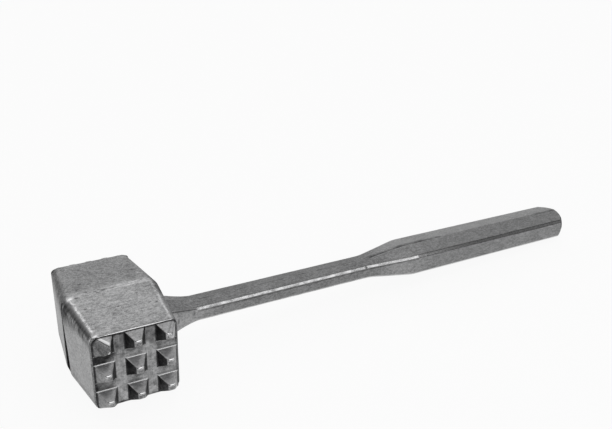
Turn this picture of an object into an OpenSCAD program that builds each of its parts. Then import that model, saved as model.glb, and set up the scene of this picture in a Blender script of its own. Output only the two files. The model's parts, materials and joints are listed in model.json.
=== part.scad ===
// Meat tenderizer mallet, one aluminium casting from a two-part mould.
// It is drawn about the middle of the head: X runs along the handle, Y along the blow,
// with the coarse face at -Y and the fine face at +Y, and the mould parts at Y = 0.
// Then it is laid down as it lies on a table, on the head's lower corner and the end of the grip.

/* [Whole mallet] */
// Length over all, from the bare side of the head to the end of the grip
overall_len = 250; // [230:1:280]

/* [Head] */
// Width of the head along the handle, at the parting ridge
head_w = 37.4; // [34:0.1:42]
// Thickness of the head from flank to flank, at the parting ridge
head_t = 35.2; // [33.5:0.1:40]
// Radius of the head's four long corners at the parting ridge
ridge_r = 4.2; // [2:0.1:6]
// Radius of the same corners at the toothed faces
face_r = 3; // [1.5:0.1:5]

/* [Coarse face] */
// Distance from the parting ridge to the floor between the coarse teeth
coarse_h = 26.5; // [20:0.1:34]
// Width of the coarse face along the handle
coarse_w = 31.4; // [30.8:0.1:34]
// Thickness of the coarse face from flank to flank
coarse_t = 31.2; // [30.6:0.1:33]
// Teeth in each row of the coarse face
coarse_n = 3; // [2:1:3]
// Pitch of the coarse teeth along the handle
coarse_pitch_w = 11.5; // [10:0.1:11.7]
// Pitch of the coarse teeth from flank to flank
coarse_pitch_t = 11.4; // [10:0.1:11.6]
// Side of a coarse tooth's square foot
coarse_foot = 7.4; // [6:0.1:7.6]
// Side of a coarse tooth's square tip
coarse_tip = 2.4; // [1:0.1:4]
// Height of a coarse tooth
coarse_tooth_h = 4.6; // [3:0.1:6]
// Radius to which the corner teeth are cut round at their feet
coarse_turn_foot_r = 20.9; // [19:0.1:22]
// Radius to which the corner teeth are cut round at their tips
coarse_turn_tip_r = 16.8; // [16.4:0.1:18.5]

/* [Fine face] */
// Distance from the parting ridge to the floor between the fine teeth
fine_h = 26.2; // [20:0.1:34]
// Width of the fine face along the handle
fine_w = 31.2; // [30.8:0.1:34]
// Thickness of the fine face from flank to flank
fine_t = 32.6; // [31.8:0.1:33.2]
// Teeth in each row of the fine face
fine_n = 5; // [3:1:5]
// Pitch of the fine teeth along the handle
fine_pitch_w = 6.5; // [5.5:0.1:6.5]
// Pitch of the fine teeth from flank to flank
fine_pitch_t = 6.7; // [5.5:0.1:6.7]
// Side of a fine tooth's square foot
fine_foot = 4.6; // [3.5:0.1:4.8]
// Side of a fine tooth's square tip
fine_tip = 2.4; // [1:0.1:3]
// Height of a fine tooth
fine_tooth_h = 3.3; // [2:0.1:4.5]
// Radius to which the corner teeth are cut round at their feet
fine_turn_foot_r = 21.2; // [20:0.1:23]
// Radius to which the corner teeth are cut round at their tips
fine_turn_tip_r = 18.4; // [18:0.1:20]

/* [Neck] */
// Width of the neck at the head, across its two flats
neck_w = 16.6; // [12:0.1:22]
// Thickness of the neck at the head, over its two parting edges
neck_t = 16.2; // [14:0.1:22]
// Height of the neck's flats at the head
neck_flat = 12.4; // [6:0.1:13]
// Radius of the hollow fillet where the neck leaves the head
neck_fillet = 2; // [1:0.1:2.4]
// Length of the neck, from the parting ridge to the shaft
neck_len = 14.6; // [10:0.1:24]
// How hollow the neck's taper is, from 1 for straight
neck_hollow = 1.5; // [1:0.1:2.5]

/* [Shaft] */
// Width of the six-sided shaft, across its two flats
shaft_w = 11.4; // [9:0.1:14]
// Thickness of the shaft, over its two parting edges
shaft_t = 8.2; // [7:0.1:11]
// Height of the shaft's flats
shaft_flat = 5.4; // [4:0.1:6.4]
// Length of the straight shaft
shaft_len = 80.2; // [60:0.1:95]
// Radius of the handle's six long edges
edge_r = 1.6; // [0.4:0.1:1.8]

/* [Grip] */
// Length of the flare from the shaft to the grip
flare_len = 23.2; // [15:0.1:30]
// Share of the flare's length that eases into each end
flare_ease = 0.18; // [0.05:0.01:0.45]
// Width of the grip at the flare, across its two flats
grip_w = 19.2; // [15:0.1:22]
// Width of the grip at its end
grip_end_w = 18.6; // [15:0.1:21]
// Thickness of the grip at the flare, over its two parting edges
grip_t = 12.9; // [11:0.1:15]
// Height of the grip's flats at the flare
grip_flat = 8.2; // [6:0.1:9]
// Radius of the ball that the end of the grip is domed to
dome_r = 12.2; // [11.8:0.1:30]

/* [Hidden] */

// Steps of the curved stretches
corner_steps = 8;
edge_steps = 4;
fillet_steps = 6;
neck_steps = 8;
flare_steps = 12;
round_fn = 96;

// Stations along the handle
neck_x = head_w / 2;
shaft_x = neck_x + neck_len;
flare_x = shaft_x + shaft_len;
grip_x = flare_x + flare_len;
end_x = overall_len - head_w / 2;

// Slopes of the head's bare side and neck side, from the mould's draft
coarse_draft = (head_w - coarse_w) / 2 / coarse_h;
fine_draft = (head_w - fine_w) / 2 / fine_h;

function unit(v) = v / norm(v);
function mix(a, b, f) = a + (b - a) * f;

// One corner p of an outline, between its neighbours a and b, as an arc of radius r.
// The arc's outline is then grown outwards by the distance grow.
function corner(a, p, b, r, steps, grow) =
    let (
        u = unit(a - p),
        v = unit(b - p),
        half = acos(u * v) / 2,
        middle = p + unit(u + v) * r / sin(half),
        first = p + u * r / tan(half) - middle,
        from = atan2(first.y, first.x),
        sweep = 180 - 2 * half
    )
    [
        for (k = [0 : steps])
            let (angle = from + sweep * k / steps)
            middle + (r + grow) * [cos(angle), sin(angle)]
    ];

// An outline, counter-clockwise, with every corner rounded
function rounded(outline, r, steps, grow = 0) =
    let (n = len(outline))
    [
        for (i = [0 : n - 1])
            each corner(outline[(i + n - 1) % n], outline[i], outline[(i + 1) % n], r, steps, grow)
    ];

// Ring round the head at height y: it starts where the lower flank meets the corner beside the neck
function head_ring(w, t, r, y) =
    let (outline = [[w, -t], [w, t], [-w, t], [-w, -t]] / 2)
    [for (p = rounded(outline, r, corner_steps)) [p.x, y, p.y]];

// Six-sided section of the handle as [y, z]: it starts on the lower parting edge
function six_sided(w, t, flat, grow = 0) =
    let (
        outline = [[0, -t], [w, -flat], [w, flat], [0, t], [-w, flat], [-w, -flat]] / 2,
        all = rounded(outline, edge_r, edge_steps, grow),
        n = len(all)
    )
    [for (i = [0 : n - 1]) all[(i + edge_steps / 2) % n]];

// Ring round the handle at station x
function handle_ring(x, section) = [for (p = section) [x, p.x, p.y]];

// Ring that follows the slope of the head's neck side by the share f
function seated_ring(x, section, f) =
    [for (p = section) [x - f * (p.x > 0 ? p.x * fine_draft : -p.x * coarse_draft), p.x, p.y]];

ridge_ring = head_ring(head_w, head_t, ridge_r, 0);
coarse_ring = head_ring(coarse_w, coarse_t, face_r, -coarse_h);
fine_ring = head_ring(fine_w, fine_t, face_r, fine_h);
shaft_section = six_sided(shaft_w, shaft_t, shaft_flat);
grip_section = six_sided(grip_w, grip_t, grip_flat);
end_taper = grip_end_w / grip_w;
end_section = six_sided(grip_end_w, grip_t * end_taper, grip_flat * end_taper);

// The end of the grip is domed to a ball, which cuts the lower parting edge at dome_x
ball_x = end_x - dome_r;
dome_x = ball_x + sqrt(dome_r * dome_r - end_section[0] * end_section[0]);
grip_foot = [dome_x, end_section[0].x, end_section[0].y];

// How it lies: on the corners of the ridge and of the fine face beside the neck, and on the grip's end
rest_up = cross(grip_foot - ridge_ring[0], fine_ring[0] - ridge_ring[0]);
lay_roll = atan2(rest_up.y, rest_up.z);
lay_pitch = atan2(-rest_up.x, norm([rest_up.y, rest_up.z]));

function turned(p) =
    let (z = p.y * sin(lay_roll) + p.z * cos(lay_roll))
    [
        p.x * cos(lay_pitch) + z * sin(lay_pitch),
        p.y * cos(lay_roll) - p.z * sin(lay_roll),
        z * cos(lay_pitch) - p.x * sin(lay_pitch)
    ];

// The outermost points, turned, give the middle of the base
function tip_row(n, pitch, tip, y, side) = [0, y, side * ((n - 1) * pitch + tip) / 2];
outermost = concat(ridge_ring, coarse_ring, fine_ring, [
    grip_foot,
    tip_row(coarse_n, coarse_pitch_t, coarse_tip, -coarse_h - coarse_tooth_h, -1),
    tip_row(fine_n, fine_pitch_t, fine_tip, fine_h + fine_tooth_h, 1)
]);
dome_reach = turned([ball_x, 0, 0]) + [dome_r, 0, 0];
reach = concat([for (p = outermost) turned(p)], [dome_reach]);
function low(i) = min([for (p = reach) p[i]]);
function high(i) = max([for (p = reach) p[i]]);

module laid() {
    translate([-(low(0) + high(0)) / 2, -(low(1) + high(1)) / 2, -low(2)])
        rotate([lay_roll, lay_pitch, 0])
            children();
}

// Solid through rings of points, each counter-clockwise seen from the last one.
// Both ends are closed in two halves, because the neck's end is folded over the parting ridge.
module loft(rings) {
    n = len(rings[0]);
    last = (len(rings) - 1) * n;
    sides = [
        for (i = [0 : len(rings) - 2], j = [0 : n - 1])
            let (a = i * n + j, b = i * n + (j + 1) % n)
            each [[a, a + n, b + n], [a, b + n, b]]
    ];
    first_end = [[for (j = [0 : n / 2]) j], [for (j = [n / 2 : n]) j % n]];
    last_end = [[for (j = [n / 2 : -1 : 0]) last + j], [for (j = [n : -1 : n / 2]) last + j % n]];
    polyhedron(points = [for (ring = rings) each ring], faces = concat(sides, first_end, last_end));
}

// Sloping ridges side by side: what is left between parallel channels
module ridges(n, pitch, foot, tip, h, length) {
    linear_extrude(height = length, center = true)
        for (i = [0 : n - 1])
            translate([(i - (n - 1) / 2) * pitch, 0])
                polygon([[-foot / 2, 0], [foot / 2, 0], [tip / 2, h], [-tip / 2, h]]);
}

// Pyramid teeth on the plane y = 0, left where two sets of channels cross, with round-cut corners
module teeth(n, pitch_w, pitch_t, foot, tip, h, w, t, turn_foot_r, turn_tip_r) {
    intersection() {
        ridges(n, pitch_w, foot, tip, h, t);
        rotate([0, 90, 0]) ridges(n, pitch_t, foot, tip, h, w);
        rotate([-90, 0, 0]) cylinder(h = h, r1 = turn_foot_r, r2 = turn_tip_r, $fn = round_fn);
    }
}

module head_coarse_half() {
    color("darkgray") laid() loft([ridge_ring, coarse_ring]);
}

module head_fine_half() {
    color("darkgray") laid() loft([fine_ring, ridge_ring]);
}

module coarse_teeth() {
    color("silver") laid()
        mirror([0, 1, 0])
            translate([0, coarse_h, 0])
                teeth(coarse_n, coarse_pitch_w, coarse_pitch_t, coarse_foot, coarse_tip, coarse_tooth_h,
                    coarse_w, coarse_t, coarse_turn_foot_r, coarse_turn_tip_r);
}

module fine_teeth() {
    color("silver") laid()
        translate([0, fine_h, 0])
            teeth(fine_n, fine_pitch_w, fine_pitch_t, fine_foot, fine_tip, fine_tooth_h,
                fine_w, fine_t, fine_turn_foot_r, fine_turn_tip_r);
}

// The neck leaves the sloping side of the head in a fillet and draws in hollow to the shaft
module neck() {
    function section(left, grow) =
        let (f = pow(left, neck_hollow))
        six_sided(mix(shaft_w, neck_w, f), mix(shaft_t, neck_t, f), mix(shaft_flat, neck_flat, f), grow);
    function ring(x, grow) =
        let (left = (shaft_x - x) / neck_len)
        seated_ring(x, section(left, grow), left * left);
    fillet = [
        for (k = [0 : fillet_steps])
            let (a = 90 * k / fillet_steps)
            ring(neck_x + neck_fillet * (1 - cos(a)), neck_fillet * (1 - sin(a)))
    ];
    taper = [
        for (k = [1 : neck_steps])
            ring(mix(neck_x + neck_fillet, shaft_x, k / neck_steps), 0)
    ];
    color("gray") laid() loft(concat(fillet, taper));
}

module shaft() {
    color("gray") laid()
        translate([shaft_x, 0, 0])
            rotate([90, 0, 90])
                linear_extrude(height = shaft_len)
                    polygon(shaft_section);
}

// The flare widens in a straight slope that eases into the shaft and into the grip
module flare() {
    function eased(u) =
        u < flare_ease ? u * u / 2 / flare_ease / (1 - flare_ease)
        : u > 1 - flare_ease ? 1 - pow(1 - u, 2) / 2 / flare_ease / (1 - flare_ease)
        : (u - flare_ease / 2) / (1 - flare_ease);
    color("gray") laid()
        loft([
            for (k = [0 : flare_steps])
                let (u = k / flare_steps, f = eased(u))
                handle_ring(grip_x - (1 - u) * flare_len, shaft_section * (1 - f) + grip_section * f)
        ]);
}

// The grip tapers a little to its end, where a ball domes it
module grip() {
    color("gray") laid()
        intersection() {
            loft([
                handle_ring(grip_x, grip_section),
                handle_ring(dome_x, end_section),
                handle_ring(end_x, end_section)
            ]);
            translate([ball_x, 0, 0]) {
                sphere(dome_r, $fn = round_fn);
                rotate([0, -90, 0]) cylinder(h = overall_len, r = dome_r, $fn = round_fn);
            }
        }
}

head_coarse_half();
head_fine_half();
coarse_teeth();
fine_teeth();
neck();
shaft();
flare();
grip();
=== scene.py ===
import functools
import json
import math
import random

import bmesh
import bpy
import numpy as np
from mathutils import Matrix, Vector, noise


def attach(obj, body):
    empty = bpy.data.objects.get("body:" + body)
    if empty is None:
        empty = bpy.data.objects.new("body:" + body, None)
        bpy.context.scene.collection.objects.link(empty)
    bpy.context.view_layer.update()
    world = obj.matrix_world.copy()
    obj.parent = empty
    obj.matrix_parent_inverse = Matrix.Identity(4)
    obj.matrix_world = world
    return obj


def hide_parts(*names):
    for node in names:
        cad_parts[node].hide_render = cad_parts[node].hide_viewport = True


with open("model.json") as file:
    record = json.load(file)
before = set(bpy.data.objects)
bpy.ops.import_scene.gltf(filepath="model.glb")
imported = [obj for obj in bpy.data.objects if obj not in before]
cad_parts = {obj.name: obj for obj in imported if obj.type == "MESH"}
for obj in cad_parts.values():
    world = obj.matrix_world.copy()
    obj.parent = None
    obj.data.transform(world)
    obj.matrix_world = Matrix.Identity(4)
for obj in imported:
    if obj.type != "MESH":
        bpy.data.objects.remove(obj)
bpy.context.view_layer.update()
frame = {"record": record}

# Head
# A block of aluminium, cast in two mould halves that taper away from the parting ridge, to the
# coarse face at -Y and the fine face at +Y. The flash of the parting was filed off the flanks by
# hand, which left an uneven flat. On the bare side it broke away and left a dark groove.
MM = 0.001
HEAD_WIDTH = 37.7
HEAD_THICKNESS = 35.2
RIDGE_RADIUS = 4.2
FACE_RADIUS = 3.0
RIDGE_WEAR = 0.45
FACE_EDGE = 0.45
CHAMFER = 0.33
CHAMFER_ON_FACE = 0.45
LAND_START = 0.6
COARSE_REACH = 26.5
COARSE_WIDTH = 32.2
COARSE_THICKNESS = 31.2
FINE_REACH = 26.2
FINE_WIDTH = 31.2
FINE_THICKNESS = 32.6
COARSE_PITCH = 11.5
COARSE_FOOT = 7.4
FINE_PITCH = 6.5
FINE_FOOT = 4.6
HEAD_TO_SHAFT_MIDDLE = 73.4
SHARP_ANGLE = math.radians(48)

# How deep the marks on the cast block go, and how far the groove reaches to each side of the ridge
GRAIN_DEPTH = 0.03
PIT_DEPTH = 0.14
KNOCK_DEPTH = 0.25
GROOVE_DEPTH = 0.8
GROOVE_REACH = 0.55
PARTING_DEPTH = 0.06
FILED_DEPTH = 0.085

# The casting is drawn in millimetres about the middle of the head, with X along the handle. It is
# laid down as the flats of its shaft lie, because it rests tilted, on one flank and its grip's end.
mounts = {mount["name"]: mount for mount in frame["record"]["mounts"]}
coarse_flat = mounts["shaft_flat_coarse_side"]
fine_flat = mounts["shaft_flat_fine_side"]
shaft_middle = (Vector(coarse_flat["pos_m"]) + Vector(fine_flat["pos_m"])) / 2
across = Vector(fine_flat["axis"]).normalized()
along = across.cross(Vector((0, 1, 0))).normalized()
turn = Matrix((along, across, along.cross(across))).transposed()
head_middle = shaft_middle - along * HEAD_TO_SHAFT_MIDDLE * MM
lay = Matrix.Translation(head_middle) @ turn.to_4x4() @ Matrix.Scale(MM, 4)

# Colours of grime with painted shade, of burnish with painted highlight, and the sheens of clean
# metal and of metal under grime and painted shade
GRIME_AND_SHADE = (0.022, 0.022, 0.023)
BURNISH_AND_HIGHLIGHT = (0.6, 0.6, 0.605)
CLEAN_SHEEN = (1.0, 1.0, 1.0)
GRIME_AND_SHADE_SHEEN = (0.1, 0.1, 0.1)


def node(tree, kind, place=(0, 0), **values):
    made = tree.nodes.new(kind)
    made.location = place
    for name, value in values.items():
        setattr(made, name, value)
    return made


def math_node(tree, place, operation, *values):
    """The result of that operation on numbers or on what other nodes give."""
    made = node(tree, "ShaderNodeMath", place, operation=operation)
    for socket, value in zip(made.inputs, values):
        if isinstance(value, (int, float)):
            socket.default_value = value
        else:
            tree.links.new(value, socket)
    return made.outputs["Value"]


def cast_aluminium(name, dark, light, roughness, grain, lump):
    """Grey cast metal, mottled from dark to light in lumps of that size, with grain of that depth.

    It reads from the mesh how worn, polished and grimy each place is, and the painted highlight
    and shade that these carry.
    """
    material = bpy.data.materials.new(name)
    material.use_nodes = True
    tree = material.node_tree
    link = tree.links.new
    shader = tree.nodes["Principled BSDF"]
    shader.inputs["Metallic"].default_value = 1.0

    place = node(tree, "ShaderNodeTexCoord", (-1800, 0))
    upright = node(tree, "ShaderNodeMapping", (-1600, 0))
    back = turn.transposed()
    upright.inputs["Scale"].default_value = (1 / MM, 1 / MM, 1 / MM)
    upright.inputs["Rotation"].default_value = back.to_euler()
    upright.inputs["Location"].default_value = -(back @ head_middle) / MM
    link(place.outputs["Object"], upright.inputs["Vector"])

    def speckle(size, detail, stretch, y):
        texture = node(tree, "ShaderNodeTexNoise", (-1200, y))
        texture.inputs["Scale"].default_value = 1 / size
        texture.inputs["Detail"].default_value = detail
        texture.inputs["Roughness"].default_value = 0.6
        squeeze = node(tree, "ShaderNodeMapping", (-1400, y))
        squeeze.inputs["Scale"].default_value = stretch
        link(upright.outputs["Vector"], squeeze.inputs["Vector"])
        link(squeeze.outputs["Vector"], texture.inputs["Vector"])
        return texture.outputs["Fac"]

    def ranged(value, low, high, to_low, to_high, y):
        limits = node(tree, "ShaderNodeMapRange", (-900, y))
        limits.inputs["From Min"].default_value = low
        limits.inputs["From Max"].default_value = high
        limits.inputs["To Min"].default_value = to_low
        limits.inputs["To Max"].default_value = to_high
        link(value, limits.inputs["Value"])
        return limits.outputs["Result"]

    def worked(operation, a, b, y):
        return math_node(tree, (-600, y), operation, a, b)

    def mixed(share, a, b, y):
        blend = node(tree, "ShaderNodeMix", (-300, y), data_type="RGBA")
        link(share, blend.inputs["Factor"])
        for socket, value in zip(blend.inputs[6:8], (a, b)):
            if isinstance(value, tuple):
                socket.default_value = (*value, 1)
            else:
                link(value, socket)
        return blend.outputs[2]

    def kept(attribute, y):
        made = node(tree, "ShaderNodeAttribute", (-900, y), attribute_name=attribute)
        return made.outputs["Fac"]

    cloud = speckle(7.5, 3, (1, 1, 1), 500)
    mottle = speckle(lump, 4, (0.8, 1, 1), 300)
    sand = speckle(0.5, 2, (1, 1, 1), 100)
    brushed = speckle(0.5, 3, (0.28, 1, 1), 0)
    lengthwise = speckle(0.9, 2, (0.12, 4, 4), -100)
    crosswise = speckle(0.9, 2, (4, 0.12, 4), -300)
    scored = speckle(1.1, 2, (0.25, 3.2, 3.2), -400)

    shade = ranged(mottle, 0.35, 0.65, 0.2, 0.8, 300)
    shade = worked("ADD", ranged(cloud, 0.35, 0.65, -0.18, 0.18, 500), shade, 500)
    shade = worked("ADD", shade, ranged(brushed, 0.35, 0.65, -0.25, 0.25, 0), 450)
    shade = worked("ADD", shade, ranged(sand, 0.35, 0.65, -0.38, 0.38, 100), 400)
    hairs = worked("MAXIMUM", lengthwise, crosswise, -100)
    hairs = ranged(hairs, 0.62, 0.74, 0.0, 0.4, -100)
    scores = ranged(scored, 0.62, 0.76, 0.0, 0.5, -400)
    metal = mixed(shade, dark, light, 500)
    metal = mixed(hairs, metal, BURNISH_AND_HIGHLIGHT, 400)
    metal = mixed(scores, metal, GRIME_AND_SHADE, 350)
    # Wear and polish lighten the colour, and also carry painted highlights
    wear_and_highlight = worked("MULTIPLY", kept("wear_and_highlight", 700), ranged(mottle, 0.38, 0.6, 0.5, 1.0, 250), 700)
    metal = mixed(wear_and_highlight, metal, BURNISH_AND_HIGHLIGHT, 300)
    polish_and_highlight = kept("polish_and_highlight", 800)
    metal = mixed(worked("MULTIPLY", polish_and_highlight, 0.75, 800), metal, BURNISH_AND_HIGHLIGHT, 250)
    # Grime darkens the colour and dims the sheen, and also carries painted shade
    dirt_and_shade = worked("MULTIPLY", kept("grime_and_shade", 900), ranged(mottle, 0.35, 0.62, 1.0, 0.88, 200), 900)
    metal = mixed(dirt_and_shade, metal, GRIME_AND_SHADE, 200)
    link(metal, shader.inputs["Base Color"])
    link(mixed(dirt_and_shade, CLEAN_SHEEN, GRIME_AND_SHADE_SHEEN, 100), shader.inputs["Specular Tint"])

    finish = ranged(brushed, 0.3, 0.7, roughness + 0.05, roughness - 0.05, -500)
    finish = worked("SUBTRACT", finish, worked("MULTIPLY", wear_and_highlight, 0.08, -600), -500)
    finish = worked("SUBTRACT", finish, worked("MULTIPLY", polish_and_highlight, 0.22, -650), -550)
    finish = worked("ADD", finish, worked("MULTIPLY", dirt_and_shade, 0.12, -700), -600)
    link(worked("MAXIMUM", finish, 0.08, -600), shader.inputs["Roughness"])

    pinholes = node(tree, "ShaderNodeTexVoronoi", (-1200, -900))
    pinholes.inputs["Scale"].default_value = 0.22
    link(upright.outputs["Vector"], pinholes.inputs["Vector"])
    pocked = ranged(pinholes.outputs["Distance"], 0.03, 0.075, 0.0, 1.0, -900)
    relief = worked("MULTIPLY", mottle, 0.65, -800)
    relief = worked("ADD", relief, worked("MULTIPLY", sand, 0.45, -900), -800)
    relief = worked("ADD", relief, worked("MULTIPLY", brushed, 0.4, -850), -850)
    relief = worked("SUBTRACT", relief, scores, -950)
    relief = worked("ADD", relief, worked("MULTIPLY", pocked, 1.2, -1100), -1000)
    bump = node(tree, "ShaderNodeBump", (-300, -800))
    bump.inputs["Distance"].default_value = grain * MM
    link(ranged(polish_and_highlight, 0.0, 1.0, 1.0, 0.15, -1100), bump.inputs["Strength"])
    link(relief, bump.inputs["Height"])
    link(bump.outputs["Normal"], shader.inputs["Normal"])
    return material


head_metal = cast_aluminium(
    "cast_head",
    (0.185, 0.186, 0.188),
    (0.37, 0.371, 0.373),
    roughness=0.4,
    grain=0.07,
    lump=1.1,
)

# Sand pits of the flanks as x, y and radius: some by the ridge that show most, and a scatter
pits = [
    (-9.0, 8.3, 0.55),
    (-6.3, 7.0, 0.4),
    (-2.6, 0.3, 0.6),
    (-8.8, 1.2, 0.5),
    (-5.6, 0.2, 0.45),
    (-11.5, 4.0, 0.4),
]
scatter = random.Random(5)
for _ in range(26):
    pits.append((scatter.uniform(-14, 14), scatter.uniform(-24, 24), scatter.uniform(0.2, 0.45)))

# Places where the head was knocked, as x, y, z and radius: all but one are on its upper edges
knocks = [
    (-15.4, -0.9, 17.2, 1.2),
    (-13.8, -25.4, 15.7, 1.1),
    (-15.7, -24.9, 14.3, 0.9),
    (13.4, 8.0, 16.8, 0.5),
    (-15.2, 14.0, -16.0, 1.2),
]


def limited(value):
    """That value, kept from 0 to 1."""
    return np.clip(value, 0, 1)


def strongest(*amounts):
    return functools.reduce(np.maximum, amounts)


def mottled(points, size, seed):
    """Smooth noise from -1 to 1 at each point, with lumps of that size in millimetres."""
    away = Vector((seed * 17.3, seed * 5.1, seed * 9.7))
    return np.array([noise.noise(Vector(point) / size + away) for point in points])


def patches(points, level, spread, size, seed):
    """Mottling from 0 to 1 that lies about that level."""
    return limited(level + spread * mottled(points, size, seed))


def bell(distance, radius):
    return np.exp(-((distance / radius) ** 2))


def soft_min(a, b, reach):
    """The lesser of a and b, rounded over where they are within reach of each other."""
    share = limited(0.5 + 0.5 * (b - a) / reach)
    return b + (a - b) * share - reach * share * (1 - share)


def rounding(before, corner, after, steps):
    """Rings of a rounded edge, from before over corner to after."""
    shares = np.linspace(0, 1, steps + 2)[1:-1]
    return [(1 - s) ** 2 * before + 2 * s * (1 - s) * corner + s * s * after for s in shares]


def rounded_outline(corners, radius, arc_points, flat_points, grow=0.0, broken=0.0):
    """Points, outward directions and nearness to a corner round a convex outline.

    Its corners are rounded to that radius. Sharper ones, which turn by more than a radian, are also
    broken flat over that angle, in radians, to each side of their middle.
    """
    arcs = []
    for i, corner in enumerate(corners):
        to_last = np.array(corners[i - 1], float) - corner
        to_next = np.array(corners[(i + 1) % len(corners)], float) - corner
        to_last /= np.linalg.norm(to_last)
        to_next /= np.linalg.norm(to_next)
        half = math.acos(np.clip(to_last @ to_next, -1, 1)) / 2
        inward = (to_last + to_next) / np.linalg.norm(to_last + to_next)
        middle = corner + inward * radius / math.sin(half)
        first = corner + to_last * radius / math.tan(half) - middle
        start = math.atan2(first[1], first[0])
        sweep = math.pi - 2 * half
        angles = start + sweep * np.linspace(0, 1, arc_points)
        directions = np.stack([np.cos(angles), np.sin(angles)], 1)
        spokes = directions
        if sweep > 1:
            flat = math.cos(broken) / np.cos(angles - start - sweep / 2)
            spokes = directions * np.minimum(flat, 1.0)[:, None]
        arcs.append((middle, directions, spokes))

    points, outward, bends = [], [], []
    for i, (middle, directions, spokes) in enumerate(arcs):
        arc = middle + spokes * (radius + grow)
        points.extend(arc)
        outward.extend(directions)
        bends.extend(np.sin(np.linspace(0, math.pi, arc_points)))
        next_middle, _, next_spokes = arcs[(i + 1) % len(arcs)]
        target = next_middle + next_spokes[0] * (radius + grow)
        for share in np.linspace(0, 1, flat_points + 2)[1:-1]:
            eased = share * share * (3 - 2 * share) * 0.6 + share * 0.4
            points.append(arc[-1] + (target - arc[-1]) * eased)
            outward.append(directions[-1])
            bends.append(0.0)
    return np.array(points), np.array(outward), np.array(bends)


def walls(rings):
    """The faces between each ring and the next, in a mesh that holds the rings' points in turn."""
    count = len(rings[0])
    faces = []
    for start in range(0, count * (len(rings) - 1), count):
        for i in range(count):
            j = (i + 1) % count
            faces.append((start + i, start + j, start + count + j, start + count + i))
    return faces


def keep_age(mesh, age):
    """Writes how worn, polished and grimy the rings are, with their painted light and shade, where
    the metal's material reads it.
    """
    for key, values in zip(("wear_and_highlight", "polish_and_highlight", "grime_and_shade"), zip(*age)):
        layer = mesh.attributes.new(key, "FLOAT", "POINT")
        layer.data.foreach_set("value", limited(np.concatenate(values)).astype(np.float32))


def finished(name, mesh, material):
    """The object of a mesh that is in place: faces outwards, smooth but for its sharp edges."""
    work = bmesh.new()
    work.from_mesh(mesh)
    bmesh.ops.recalc_face_normals(work, faces=work.faces)
    work.to_mesh(mesh)
    work.free()
    mesh.shade_smooth()
    mesh.set_sharp_from_angle(angle=SHARP_ANGLE)
    if not mesh.materials:
        mesh.materials.append(material)
    made = bpy.data.objects.new(name, mesh)
    bpy.context.scene.collection.objects.link(made)
    return made


def closed_skin(name, rings, age, material):
    """A closed mesh through rings of points in the mallet's millimetres, laid down in metres."""
    count = len(rings[0])
    points = np.concatenate(rings)
    faces = walls(rings)
    for start, hub in ((0, len(points)), (len(points) - count, len(points) + 1)):
        faces.extend((start + i, start + (i + 1) % count, hub) for i in range(count))
    hubs = np.stack([rings[0].mean(0), rings[-1].mean(0)])
    mesh = bpy.data.meshes.new(name)
    mesh.from_pydata(np.concatenate([points, hubs]).tolist(), [], faces)
    hub_age = [(first.mean(), last.mean()) for first, last in zip(age[0], age[-1])]
    keep_age(mesh, [*age, hub_age])
    mesh.transform(lay)
    return finished(name, mesh, material)


def head_ring(y, width, thickness, radius):
    """One ring of the head at height y, with its outward directions."""
    corners = np.array([(1, -1), (1, 1), (-1, 1), (-1, -1)]) * (width / 2, thickness / 2)
    outline, outward, _ = rounded_outline(corners, radius, arc_points=21, flat_points=58)
    return np.stack([outline[:, 0], np.full(len(outline), y), outline[:, 1]], 1), outward


def filed_depth(points):
    """How deep the file went below the parting ridge, from place to place."""
    return FILED_DEPTH + 0.06 * mottled(points, 7.0, 3) + 0.035 * mottled(points, 2.2, 4)


def knocked_off(points):
    """How far the knocks took the skin off at each point, from 0 to 1."""
    near = [bell(np.linalg.norm(points - knock[:3], axis=1), knock[3]) for knock in knocks]
    return limited(1.4 * np.max(near, axis=0))


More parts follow.
